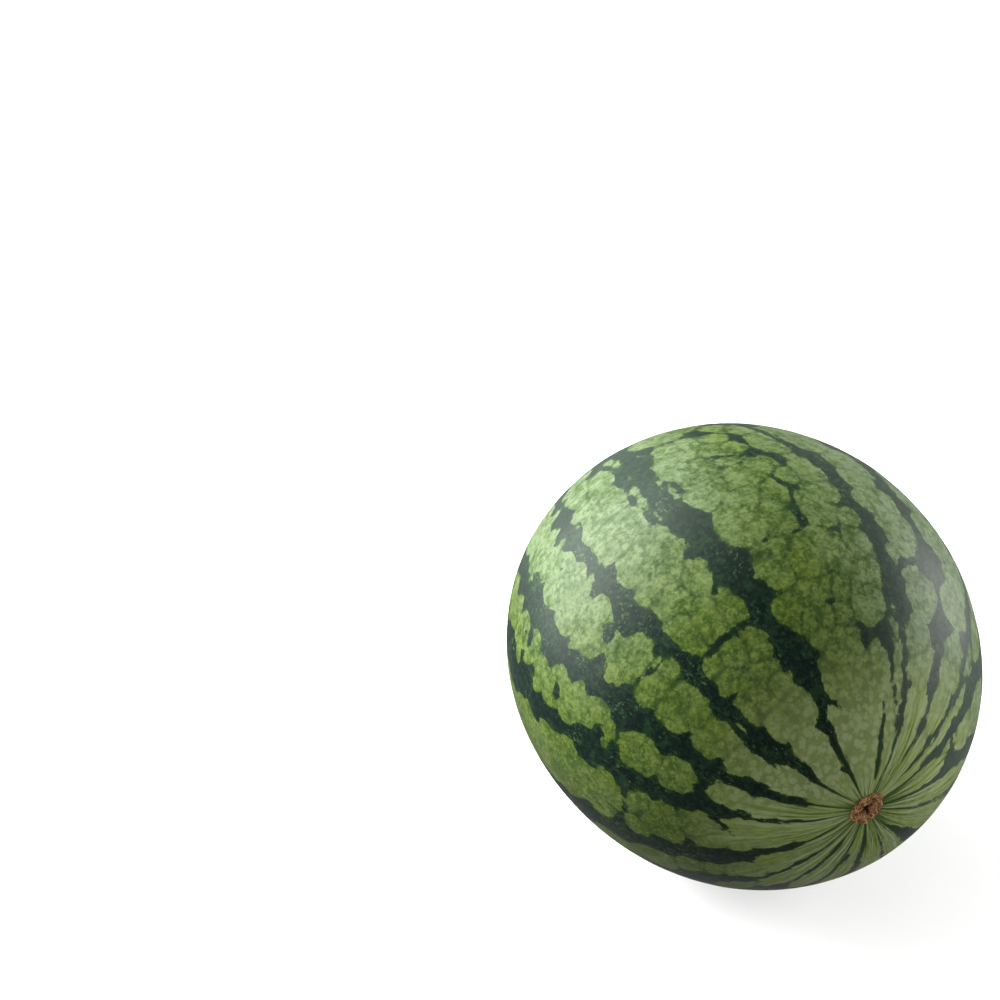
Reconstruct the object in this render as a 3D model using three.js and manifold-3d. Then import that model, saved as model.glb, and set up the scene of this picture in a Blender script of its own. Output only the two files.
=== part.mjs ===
// A whole striped watermelon lying on its side, with the dry remnant of its stalk.
//
// Frame: millimetres, +Z up. The fruit lies along Y: the blossom end, with its corky scar, points
// to -Y and a little down; the stem end, with the dry stalk in a dimple, points to +Y. The
// origin is on the floor, under the centre of the whole part's box.
//
// Each piece is shaped in its own upright frame: the fruit along its core, from the stem end
// at the bottom to the blossom end at the top, and the stalk from its foot to its cut.

import * as THREE from "three";
import { mergeVertices } from "three/addons/utils/BufferGeometryUtils.js";
import Module from "manifold-3d";

// ---- Driving dimensions, in millimetres and degrees ----

// The fruit's body
const FRUIT_LENGTH = 238; // along its core, before the ends are dimpled
const FRUIT_WIDTH = 212; // from side to side
const FRUIT_DEPTH = 200; // from top to bottom, at right angles to its core
const BLOSSOM_END_DIP = 5; // how far the blossom end points below level
const UNEVENNESS = 0.7; // how far the body swells from a true ellipsoid

// The patch that the fruit rests on
const RESTING_SPOT_PRESS = 1.5; // how deep the underside is pressed flat

// The corky scar where the flower was
const SCAR_DIAMETER = 20.5;
const SCAR_HEIGHT = 0.9; // its rim above the rind
const SCAR_LUMPS = 9; // lumps around its rim
const SCAR_LUMP_RELIEF = 0.35;
const SCAR_PIT_DIAMETER = 5;
const SCAR_PIT_DEPTH = 1.3; // its middle below its rim
const BLOSSOM_DIMPLE_DIAMETER = 54;
const BLOSSOM_DIMPLE_DEPTH = 1.6;

// The dimple that the stalk stands in
const STEM_DIMPLE_DIAMETER = 58;
const STEM_DIMPLE_DEPTH = 4.5;
const STEM_SEAT_MARGIN = 1.2; // flat rind around the stalk's foot

// The dry stalk
const STALK_LENGTH = 19; // along its own axis
const STALK_DIAMETER = 7.5; // at its neck
const STALK_FOOT_DIAMETER = 13.5;
const STALK_FOOT_FLARE = 2.6; // the height over which the foot narrows by about two thirds
const STALK_RIDGES = 5;
const STALK_RIDGE_RELIEF = 0.45;
const STALK_BEND = 24; // how far its tip has turned from its foot, in degrees
const STALK_CUT_SLANT = 14; // of the cut face, in degrees

const SEAT_GAP = 0.3; // between the stalk's foot and the rind

// How fine the surfaces are
const AROUND = 64; // facets around the fruit
const BODY_ROWS = 30; // rows along the fruit's body
const SCAR_ROWS = 9; // rows from the scar's middle to just outside it
const STALK_AROUND = 20;
const STALK_ROWS = 12;

// ---- Materials ----

const rindMaterial = new THREE.MeshStandardMaterial({
  name: "rind",
  color: 0x48683a,
  roughness: 0.42,
  metalness: 0,
});
const dryStemMaterial = new THREE.MeshStandardMaterial({
  name: "dry_stem",
  color: 0x7c6343,
  roughness: 0.88,
  metalness: 0,
});

// ---- Shared helpers ----

const radians = THREE.MathUtils.degToRad;
const { smoothstep, lerp } = THREE.MathUtils;

// A closed surface made of rings of points, one above the next, with one point at each end.
// The rings run counter-clockwise as seen from the last point.
function closedSurface(firstPoint, rings, lastPoint) {
  const points = [firstPoint, ...rings.flat(), lastPoint];
  const count = rings[0].length;
  const last = points.length - 1;
  const faces = [];
  const at = (ring, i) => 1 + ring * count + (i % count);
  for (let i = 0; i < count; i++) {
    faces.push(0, at(0, i + 1), at(0, i));
    faces.push(last, at(rings.length - 1, i), at(rings.length - 1, i + 1));
    for (let ring = 0; ring + 1 < rings.length; ring++) {
      const [a, b] = [at(ring, i), at(ring, i + 1)];
      const [c, d] = [at(ring + 1, i + 1), at(ring + 1, i)];
      faces.push(a, b, c, a, c, d);
    }
  }
  const geometry = new THREE.BufferGeometry().setFromPoints(points);
  geometry.setIndex(faces);
  return geometry;
}

// Evenly spaced angles around a ring.
function anglesAround(count) {
  return Array.from({ length: count }, (_, i) => (2 * Math.PI * i) / count);
}

const wasm = await Module();
wasm.setup();

function solidFrom(geometry) {
  const bare = geometry.clone();
  bare.deleteAttribute("normal");
  bare.deleteAttribute("uv");
  const merged = mergeVertices(bare);
  return new wasm.Manifold(
    new wasm.Mesh({
      numProp: 3,
      vertProperties: new Float32Array(merged.attributes.position.array),
      triVerts: new Uint32Array(merged.index.array),
    }),
  );
}

function geometryFrom(solid) {
  const { vertProperties, triVerts } = solid.getMesh();
  const geometry = new THREE.BufferGeometry();
  geometry.setAttribute("position", new THREE.BufferAttribute(vertProperties, 3));
  geometry.setIndex(new THREE.BufferAttribute(triVerts, 1));
  geometry.computeVertexNormals();
  return geometry;
}

// ---- The fruit ----

const halfLength = FRUIT_LENGTH / 2;
const meanRadius = (FRUIT_WIDTH + FRUIT_DEPTH) / 4;
const seatRadius = STALK_FOOT_DIAMETER / 2 + STEM_SEAT_MARGIN;

// How high the plain body's end stands at a distance from the core, measured from its middle.
function bodyHeight(distance) {
  return halfLength * Math.sqrt(Math.max(0, 1 - (distance / meanRadius) ** 2));
}

const stemSeatHeight = halfLength - STEM_DIMPLE_DEPTH;

// The stem end: a level seat for the stalk, running out smoothly into the body.
function stemEndHeight(distance) {
  const outward = smoothstep(distance, seatRadius, STEM_DIMPLE_DIAMETER / 2);
  return lerp(stemSeatHeight, bodyHeight(distance), outward);
}

// The blossom end: a shallow dimple that carries the scar's lumpy rim and its central pit.
function blossomEndHeight(distance, angle) {
  const scarRadius = SCAR_DIAMETER / 2;
  const dimple = 1 - smoothstep(distance, 0, BLOSSOM_DIMPLE_DIAMETER / 2);
  const onScar = 1 - smoothstep(distance, 0.82 * scarRadius, 1.08 * scarRadius);
  const inPit = 1 - smoothstep(distance, 0.15 * SCAR_PIT_DIAMETER, SCAR_PIT_DIAMETER);
  const lump = SCAR_LUMP_RELIEF * Math.cos(SCAR_LUMPS * angle) * (1 - inPit);
  const scar = onScar * (SCAR_HEIGHT + lump - SCAR_PIT_DEPTH * inPit);
  return bodyHeight(distance) - BLOSSOM_DIMPLE_DEPTH * dimple + scar;
}

// The gentle swellings that keep a grown body from being a true ellipsoid, as a fraction of
// the distance from the core. They fade out at both ends.
function swelling(angle, turn) {
  const waves = Math.sin(2 * angle + 0.6) * Math.cos(turn) + Math.sin(3 * angle - 0.9);
  return 1 + (UNEVENNESS / meanRadius) * 0.6 * waves * Math.sin(turn) ** 2;
}

function fruitPoint(distance, height, angle, swell = 1) {
  const share = (distance / meanRadius) * swell;
  return new THREE.Vector3(
    (share * Math.cos(angle) * FRUIT_WIDTH) / 2,
    (share * Math.sin(angle) * FRUIT_DEPTH) / 2,
    height,
  );
}

function fruitGeometry() {
  const angles = anglesAround(AROUND);
  const ring = (distance, heightAt) =>
    angles.map((angle) => fruitPoint(distance, heightAt(distance, angle), angle));

  // The rows near both ends are set out by their distance from the core.
  const stemEdge = STEM_DIMPLE_DIAMETER / 2;
  const stemRows = [0.5, 1, 1.35, 1.7, 2.15, 2.6, 3.1]
    .map((share) => share * seatRadius)
    .filter((distance) => distance < stemEdge);
  const scarEdge = 1.12 * (SCAR_DIAMETER / 2);
  const scarRows = Array.from(
    { length: SCAR_ROWS },
    (_, i) => (scarEdge * (i + 1)) / SCAR_ROWS,
  );

  // The rows between are set out by the turn from the stem end to the blossom end.
  const firstTurn = Math.asin(Math.max(...stemRows, seatRadius) / meanRadius);
  const lastTurn = Math.PI - Math.asin(scarEdge / meanRadius);
  const bodyRings = [];
  for (let row = 1; row < BODY_ROWS; row++) {
    const turn = lerp(firstTurn, lastTurn, row / BODY_ROWS);
    const distance = meanRadius * Math.sin(turn);
    bodyRings.push(
      angles.map((angle) => {
        const height =
          turn < Math.PI / 2 ? -stemEndHeight(distance) : blossomEndHeight(distance, angle);
        return fruitPoint(distance, height, angle, swelling(angle, turn));
      }),
    );
  }

  return closedSurface(
    fruitPoint(0, -stemSeatHeight, 0),
    [
      ...stemRows.map((distance) => ring(distance, (d) => -stemEndHeight(d))),
      ...bodyRings,
      ...scarRows.reverse().map((distance) => ring(distance, blossomEndHeight)),
    ],
    fruitPoint(0, blossomEndHeight(0, Math.PI / (2 * SCAR_LUMPS)), 0),
  );
}

// Lays the upright fruit on its side, with the blossom end to -Y and dipping.
const layDown = new THREE.Matrix4().makeRotationX(radians(90 + BLOSSOM_END_DIP));

// The laid fruit, with the spot that it rests on pressed flat.
function restingFruitGeometry() {
  const laid = fruitGeometry().applyMatrix4(layDown);
  laid.computeBoundingBox();
  const floor = laid.boundingBox.min.z + RESTING_SPOT_PRESS;
  const side = 2 * FRUIT_LENGTH;
  const below = new THREE.BoxGeometry(side, side, side);
  below.translate(0, 0, floor - side / 2);
  return geometryFrom(solidFrom(laid).subtract(solidFrom(below)));
}

// ---- The dry stalk ----

// A point of the stalk's bent centre line, at a distance along it from the foot.
function stalkCentre(along) {
  const bendRadius = STALK_LENGTH / radians(STALK_BEND);
  const turned = along / bendRadius;
  return new THREE.Vector3(
    bendRadius * (1 - Math.cos(turned)),
    0,
    bendRadius * Math.sin(turned),
  );
}

function stalkRadius(along, angle) {
  const neck = STALK_DIAMETER / 2;
  const flare = (STALK_FOOT_DIAMETER / 2 - neck) * Math.exp(-along / STALK_FOOT_FLARE);
  const ridges = STALK_RIDGE_RELIEF * Math.cos(STALK_RIDGES * angle);
  const fade = smoothstep(along, 0, STALK_FOOT_FLARE);
  return neck + flare + ridges * fade;
}

function stalkGeometry() {
  const angles = anglesAround(STALK_AROUND);
  const slant = Math.tan(radians(STALK_CUT_SLANT));
  const rings = [];
  for (let row = 0; row <= STALK_ROWS; row++) {
    const share = row / STALK_ROWS;
    const along = STALK_LENGTH * share;
    const turned = radians(STALK_BEND) * share;
    const centre = stalkCentre(along);
    rings.push(
      angles.map((angle) => {
        const radius = stalkRadius(along, angle);
        const sideways = radius * Math.cos(angle);
        // The slant of the cut grows along the stalk, so the foot stays level.
        const lift = slant * share * share * radius * Math.sin(angle);
        return new THREE.Vector3(
          centre.x + sideways * Math.cos(turned) + lift * Math.sin(turned),
          radius * Math.sin(angle),
          centre.z - sideways * Math.sin(turned) + lift * Math.cos(turned),
        );
      }),
    );
  }
  return closedSurface(stalkCentre(0), rings, stalkCentre(STALK_LENGTH));
}

// ---- The part ----

function fruit() {
  const mesh = new THREE.Mesh(restingFruitGeometry(), rindMaterial);
  mesh.name = "fruit";
  return mesh;
}

function dryStalk() {
  const mesh = new THREE.Mesh(stalkGeometry(), dryStemMaterial);
  mesh.name = "dry_stalk";
  mesh.rotation.set(Math.PI, 0, Math.PI / 3, "ZXY");
  mesh.position.z = -stemSeatHeight - SEAT_GAP;
  const seat = new THREE.Group();
  seat.applyMatrix4(layDown);
  seat.add(mesh);
  return seat;
}

const lying = new THREE.Group();
lying.add(fruit(), dryStalk());
lying.updateMatrixWorld(true);

// Stand the part on the floor, centred over the origin.
const box = new THREE.Box3().setFromObject(lying, true);
lying.position.set(
  -(box.min.x + box.max.x) / 2,
  -(box.min.y + box.max.y) / 2,
  -box.min.z,
);

const watermelon = new THREE.Group();
watermelon.name = "watermelon";
watermelon.add(lying);

export default watermelon;
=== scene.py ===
"""A whole striped watermelon lying on its side, with the dry remnant of its stalk.

The fruit and the stalk are rebuilt as fine meshes in the places of their CAD nodes. Each piece is
shaped in millimetres in its own upright frame, as the CAD pieces are, and is then laid down in
the row frame, in metres.
"""

import math

import bpy
import numpy as np
from mathutils import Matrix, Vector, noise


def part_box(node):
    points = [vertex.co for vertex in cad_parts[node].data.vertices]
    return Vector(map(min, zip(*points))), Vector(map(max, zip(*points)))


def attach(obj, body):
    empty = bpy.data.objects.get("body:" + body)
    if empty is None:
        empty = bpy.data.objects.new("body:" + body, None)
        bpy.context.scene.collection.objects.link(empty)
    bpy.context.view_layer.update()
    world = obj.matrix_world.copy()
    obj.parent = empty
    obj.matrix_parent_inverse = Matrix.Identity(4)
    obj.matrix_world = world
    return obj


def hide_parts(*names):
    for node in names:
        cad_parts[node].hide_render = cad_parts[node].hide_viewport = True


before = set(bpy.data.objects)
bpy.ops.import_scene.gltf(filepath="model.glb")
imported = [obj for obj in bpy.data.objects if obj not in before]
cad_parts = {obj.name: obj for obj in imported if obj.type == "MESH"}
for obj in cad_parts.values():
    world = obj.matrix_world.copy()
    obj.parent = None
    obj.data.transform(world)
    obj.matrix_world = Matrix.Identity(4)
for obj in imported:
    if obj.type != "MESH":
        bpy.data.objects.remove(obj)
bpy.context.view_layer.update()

FRUIT_LOW, FRUIT_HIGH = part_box("fruit")
MM = 0.001

# ---- The fruit's body, in millimetres and degrees ----

HALF_LENGTH = 119.0
HALF_WIDTH = (FRUIT_HIGH.x - FRUIT_LOW.x) / 2 / MM
HALF_DEPTH = 100.0
MEAN_RADIUS = (HALF_WIDTH + HALF_DEPTH) / 2
BLOSSOM_END_DIP = 5.0
UNEVENNESS = 0.7
BLOSSOM_REACH = 118.81  # from the core's middle to the body's lowest Y
TOP_REACH = 99.87  # from the core's middle to the body's top
CORE_OFFSET = 0.34  # the core's middle, sideways from the box's

BLOSSOM_DIMPLE_RADIUS = 27.0
BLOSSOM_DIMPLE_DEPTH = 1.6
STEM_DIMPLE_RADIUS = 29.0
STEM_DIMPLE_DEPTH = 4.5
STEM_SEAT_RADIUS = 7.95
SCAR_BED = 2.6  # how far the rind sinks away under the scar
SCAR_BED_FLOOR_RADIUS = 4.6
SCAR_BED_RIM_RADIUS = 7.2
SEAT_GAP = 0.3
REST_SPOT_SOFTNESS = 1.1

ROWS = 228
COLUMNS = 420
ROW_CROWDING = 0.15  # how much closer together the rows are at the two ends

# ---- The camera ----

CAMERA_AZIMUTH = -28.76
CAMERA_ELEVATION = 33.0
CAMERA_DISTANCE = 1.5
LENS = 117.1
AIM_AZIMUTH = -23.68  # the camera looks past the fruit, which stands low and to the right
AIM_ELEVATION = 30.41


def lay_down():
    """The matrix from the upright fruit, in millimetres, to the row frame, in metres."""
    middle = Vector((
        (FRUIT_LOW.x + FRUIT_HIGH.x) / 2 + CORE_OFFSET * MM,
        FRUIT_LOW.y + BLOSSOM_REACH * MM,
        FRUIT_HIGH.z - TOP_REACH * MM,
    ))
    turn = Matrix.Rotation(math.radians(90 + BLOSSOM_END_DIP), 4, "X")
    return Matrix.Translation(middle) @ turn @ Matrix.Scale(MM, 4)


LAID = lay_down()
FRUIT_MIDDLE = LAID.translation.copy()


# ---- Shared helpers ----

def smoothstep(values, low, high):
    share = np.clip((values - low) / (high - low), 0, 1)
    return share * share * (3 - 2 * share)


def transformed(points, matrix):
    """An array of points, moved by a matrix."""
    m = np.array(matrix)
    return points @ m[:3, :3].T + m[:3, 3]


def add_object(name, data):
    made = bpy.data.objects.new(name, data)
    bpy.context.scene.collection.objects.link(made)
    return made


def add_uv_map(mesh, rows, columns):
    """The UV map OFBake for a closed grid: columns across, and rows up."""
    row, column = np.indices((rows - 1, columns)).reshape(2, -1)
    around = np.arange(columns)
    across = np.stack([column, column + 1, column + 1, column], -1) / columns
    up = (np.stack([row, row, row + 1, row + 1], -1) + 1) / (rows + 1)
    fan_across = np.stack([around + 0.5, around + 1, around], -1) / columns
    fan_up = np.tile([0, 1, 1], (columns, 1)) / (rows + 1)
    last_across = np.stack([around + 0.5, around, around + 1], -1) / columns
    u = np.concatenate([across.ravel(), fan_across.ravel(), last_across.ravel()])
    v = np.concatenate([up.ravel(), fan_up.ravel(), 1 - fan_up.ravel()])
    uv_map = mesh.uv_layers.new(name="OFBake")
    uv_map.data.foreach_set("uv", np.stack([u, v], -1).astype(np.float32).ravel())


def closed_grid(name, first, rings, last):
    """A closed mesh of rings of points, with one point at each end.

    rings has the shape (rows, columns, 3).
    """
    rows, columns = rings.shape[:2]
    points = np.concatenate([[first], rings.reshape(-1, 3), [last]])
    row, column = np.indices((rows - 1, columns))
    here = 1 + row * columns + column
    beside = 1 + row * columns + (column + 1) % columns
    quads = np.stack([here, beside, beside + columns, here + columns], -1).reshape(-1, 4)
    around = np.arange(columns)
    following = (around + 1) % columns
    end = len(points) - 1
    top = 1 + (rows - 1) * columns
    first_fan = np.stack([np.zeros(columns, int), 1 + following, 1 + around], -1)
    last_fan = np.stack([np.full(columns, end), top + around, top + following], -1)

    corners = np.concatenate([quads.ravel(), first_fan.ravel(), last_fan.ravel()])
    sizes = np.concatenate([np.full(len(quads), 4), np.full(2 * columns, 3)])
    mesh = bpy.data.meshes.new(name)
    mesh.vertices.add(len(points))
    mesh.vertices.foreach_set("co", points.astype(np.float32).ravel())
    mesh.loops.add(len(corners))
    mesh.loops.foreach_set("vertex_index", corners.astype(np.int32))
    mesh.polygons.add(len(sizes))
    starts = np.concatenate([[0], np.cumsum(sizes)[:-1]])
    mesh.polygons.foreach_set("loop_start", starts.astype(np.int32))
    mesh.polygons.foreach_set("use_smooth", np.ones(len(sizes), bool))

    add_uv_map(mesh, rows, columns)
    mesh.update(calc_edges=True)
    mesh.validate()
    return add_object(name, mesh)


def store(piece, name, first, rings, last):
    """A float or a vector for each point of a closed grid, as a mesh attribute."""
    vector = rings.ndim == 3
    values = np.concatenate([
        np.atleast_2d(first) if vector else np.atleast_1d(first),
        rings.reshape(-1, 3) if vector else rings.ravel(),
        np.atleast_2d(last) if vector else np.atleast_1d(last),
    ])
    kind, field = ("FLOAT_VECTOR", "vector") if vector else ("FLOAT", "value")
    attribute = piece.data.attributes.new(name, kind, "POINT")
    attribute.data.foreach_set(field, values.astype(np.float32).ravel())


def srgb(red, green, blue):
    """A colour given as it looks on a screen, 0 to 255, as the shaders take it."""
    def linear(value):
        value /= 255
        return value / 12.92 if value <= 0.04045 else ((value + 0.055) / 1.055) ** 2.4
    return (linear(red), linear(green), linear(blue), 1.0)


class Graph:
    """Builds a node material in short steps. A value may be a number, a colour or a socket."""

    def __init__(self, name):
        self.material = bpy.data.materials.new(name)
        self.material.use_nodes = True
        self.tree = self.material.node_tree
        self.surface = self.tree.nodes["Principled BSDF"]

    def node(self, kind, inputs, **settings):
        made = self.tree.nodes.new(kind)
        for key, value in settings.items():
            setattr(made, key, value)
        for key, value in inputs.items():
            self.feed(made.inputs[key], value)
        return made

    def set_surface(self, values):
        for key, value in values.items():
            self.feed(self.surface.inputs[key], value)

    def feed(self, socket, value):
        if isinstance(value, bpy.types.NodeSocket):
            self.tree.links.new(value, socket)
        else:
            socket.default_value = value

    def attribute(self, name, output="Fac"):
        return self.node("ShaderNodeAttribute", {}, attribute_name=name).outputs[output]

    def maths(self, operation, first, second):
        made = self.node("ShaderNodeMath", {0: first, 1: second}, operation=operation)
        return made.outputs[0]

    def add(self, first, second):
        return self.maths("ADD", first, second)

    def times(self, first, second):
        return self.maths("MULTIPLY", first, second)

    def vector(self, operation, first, second):
        made = self.node("ShaderNodeVectorMath", {0: first}, operation=operation)
        self.feed(made.inputs["Scale" if operation == "SCALE" else 1], second)
        return made.outputs[0]

    def step(self, value, low, high, at_low=0.0, at_high=1.0):
        """Runs smoothly from at_low, where value is low, to at_high, where it is high."""
        inputs = {
            "Value": value, "From Min": low, "From Max": high,
            "To Min": at_low, "To Max": at_high,
        }
        made = self.node("ShaderNodeMapRange", inputs, interpolation_type="SMOOTHSTEP")
        return made.outputs["Result"]

    def mix(self, share, first, second):
        """The first colour, with a share of the second one mixed in."""
        made = self.node("ShaderNodeMix", {}, data_type="RGBA")
        self.feed(made.inputs[0], share)
        self.feed(made.inputs[6], first)
        self.feed(made.inputs[7], second)
        return made.outputs[2]

    def mix_numbers(self, share, first, second):
        return self.node("ShaderNodeMix", {0: share, 2: first, 3: second}).outputs[0]

    def noise(self, place, size, detail=2.0, roughness=0.5, output="Fac"):
        """Cloudy noise whose features are about size millimetres across."""
        inputs = {
            "Vector": place, "Scale": 1 / (size * MM),
            "Detail": detail, "Roughness": roughness,
        }
        return self.node("ShaderNodeTexNoise", inputs).outputs[output]

    def centred_noise(self, place, size, detail, roughness):
        return self.maths("SUBTRACT", self.noise(place, size, detail, roughness), 0.5)

    def shaken(self, place, size, reach, detail=2.0, roughness=0.5):
        """The places, moved about by parts of reach millimetres in clouds of this size."""
        cloud = self.noise(place, size, detail, roughness, "Color")
        centred = self.vector("SUBTRACT", cloud, (0.5, 0.5, 0.5))
        return self.vector("ADD", place, self.vector("SCALE", centred, reach * MM))

    def cells(self, place, size, feature="F1", dimensions="3D", output="Distance"):
        """Rounded cells about size millimetres across. Distance is in cells, not millimetres."""
        inputs = {"Vector": place, "Scale": 1 / (size * MM), "Randomness": 1.0}
        settings = {"voronoi_dimensions": dimensions, "feature": feature}
        return self.node("ShaderNodeTexVoronoi", inputs, **settings).outputs[output]

    def bump(self, height, depth, normal=None):
        """Raises the surface by depth millimetres where height is 1."""
        inputs = {"Height": height, "Distance": depth * MM, "Strength": 1.0}
        if normal is not None:
            inputs["Normal"] = normal
        return self.node("ShaderNodeBump", inputs).outputs["Normal"]


# ---- The run of the stripes ----
#
# A place on the rind is an angle around the core, in degrees, 0 to +X and 90 to the top, and a
# turn from the blossom end, 0, to the stem end, 180.

# Each stripe: the turn, the angle and the width in degrees at each of its stations, as far as
# it was planned. Past its last station it wanders on to the stem end.
STRIPES = [
    # the broad one along the upper left
    [(4, 111.5, 3), (12, 112, 5), (20, 112.5, 5.5), (28, 111, 7), (33, 107.4, 9),
     (40, 107, 11), (48, 107.5, 11), (55, 110, 5.5), (62, 108.5, 9.5), (68, 111, 7.5),
     (75, 112, 8), (85, 114.3, 9.5), (95, 114.5, 10), (104, 115, 7.5), (112, 113.2, 10.5),
     (122, 113, 9)],
    [(4, 137.5, 3), (15, 139.5, 3.2), (22, 137, 6.5), (28, 138.4, 12), (34, 139.7, 12.5),
     (39, 137.5, 7), (44, 138.5, 7.5), (50, 136, 4.5), (57, 135.5, 6.5), (63, 136, 4.5),
     (70, 136.4, 6), (80, 136.5, 4.5), (90, 137.5, 7)],
    [(4, 160, 2.6), (14, 161, 2.8), (20, 162.3, 6.5), (26, 161.5, 8.5), (33, 160.5, 8.8),
     (38, 161, 5), (44, 158.3, 8.2), (50, 158.2, 7), (57, 158, 9), (64, 158, 6)],
    [(4, 179.5, 1.6), (15, 181, 2.8), (23, 180, 2.2), (28, 180.2, 3.4), (34, 178.6, 6),
     (40, 177.3, 4.6), (47, 178.6, 7), (54, 177.3, 5), (62, 176.5, 5)],
    [(4, 202, 2.5), (9, 206, 4), (15, 208, 3), (22, 208, 3.6), (28, 208, 6), (34, 207.5, 10),
     (38, 205.5, 6), (44, 204.5, 9.5), (50, 204.5, 8), (56, 204, 9), (63, 202.5, 11),
     (72, 204, 8)],
    [(4, 226, 2), (15, 229, 3), (24, 230, 3.4), (32, 231, 4), (39, 227.5, 9), (46, 226, 12),
     (54, 226.5, 9)],
    [(4, 239, 2), (8, 240.5, 3), (13, 241.5, 6.5), (18, 244, 3.2), (30, 245.3, 3.4),
     (38, 246, 6)],
    [(4, 256, 2), (12, 258, 2.8), (20, 260, 2), (30, 261, 3.2)],
    [(4, 275, 5), (12, 275, 6.5), (20, 275, 3.6), (30, 275.5, 4)],
    [(4, 294, 1.6), (16, 293.5, 2.4), (28, 293, 2)],
    [(4, 307, 2), (9, 309, 3.5), (14, 312, 8), (21, 312, 9), (30, 314, 8.5)],
    [(4, 341, 4.5), (10, 340.5, 4), (16, 339, 2.4), (30, 337, 2.4)],
    [(4, 361, 6.5), (10, 360.5, 4.6), (18, 360, 3.4), (25, 360, 8), (32, 358, 10),
     (40, 355, 8)],
    [(4, 388, 2), (10, 385, 2.4), (20, 383.4, 3.6), (28, 382.6, 5), (36, 380.6, 4.4),
     (43, 380, 8), (50, 379, 4.6), (60, 377, 4.6)],
    [(11, 398.5, 1), (15, 397, 3.4), (22, 394.5, 3.6), (30, 393, 4.2), (38, 391, 4),
     (44, 392.4, 5.4), (52, 392, 4), (60, 391, 5.4), (70, 389, 4)],
    [(10, 415, 1), (15, 411.8, 2), (21, 410, 1.6), (30, 409, 2.2), (37, 408.6, 3),
     (44, 408.6, 5), (50, 409.2, 3.4), (58, 409.4, 3), (65, 410.5, 6.5), (71, 411, 3.8),
     (80, 412.3, 5.6), (92, 414, 8)],
    [(4, 433, 2.4), (9, 430, 2.2), (15, 427.3, 2.2), (26, 426.5, 2.4), (38, 427, 2.6),
     (46, 427.4, 3.6), (52, 428.3, 7.4), (58, 428.6, 5), (66, 429, 3.4), (75, 430.5, 4),
     (84, 431.7, 3.2), (94, 433.5, 3.8), (104, 436, 3.6), (112, 437, 3)],
]

# Arms, bridges and dark smudges off the stripes: the angle, the turn and the width in
# millimetres at each point.
ARMS = [
    [(80.2, 9, 1.2), (80.2, 14, 2.6), (79.6, 20, 2.6), (77.4, 25.5, 0.8)],
    [(113, 14, 3), (117, 15.5, 2.4), (120.5, 16, 0.8)],
    [(112, 55.5, 3), (119, 56.6, 1.6), (124, 56.2, 3.2), (129, 55.6, 1.6), (134, 56, 2.4)],
    [(130, 44.8, 0.6), (134, 45.2, 2.2), (137, 45.6, 3)],
    [(177, 40.6, 3), (170, 40.4, 1.6), (162, 40, 2.6)],
    [(180.5, 37.4, 2.4), (186, 34.5, 2.4), (194, 31.6, 0.8)],
    [(177, 57, 2), (186, 58, 1.6), (197, 59.6, 1.4)],
    [(139, 61.6, 2.4), (145, 62.6, 1.6), (152, 64.6, 2)],
    [(84.5, 92, 0.8), (88.5, 98, 2), (98, 101.5, 2.4), (101, 103, 0.8)],
    [(48, 67.5, 2.4), (56, 64.2, 2.4), (63, 61, 2)],
    [(360, 26, 4), (368, 25, 3.5), (373, 28, 3), (380, 29, 4)],
]

# Soft dark smudges in the light rind: the angle, the turn and the radius in millimetres.
SMUDGES = [
    (121.5, 34.5, 3.0), (124, 32.4, 3.4), (123.4, 41.6, 3.4), (82.5, 58, 2.6), (92, 29, 2.2),
    (86.5, 48.2, 2.4), (93, 53, 2.6), (97, 54, 2.2),
]

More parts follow.
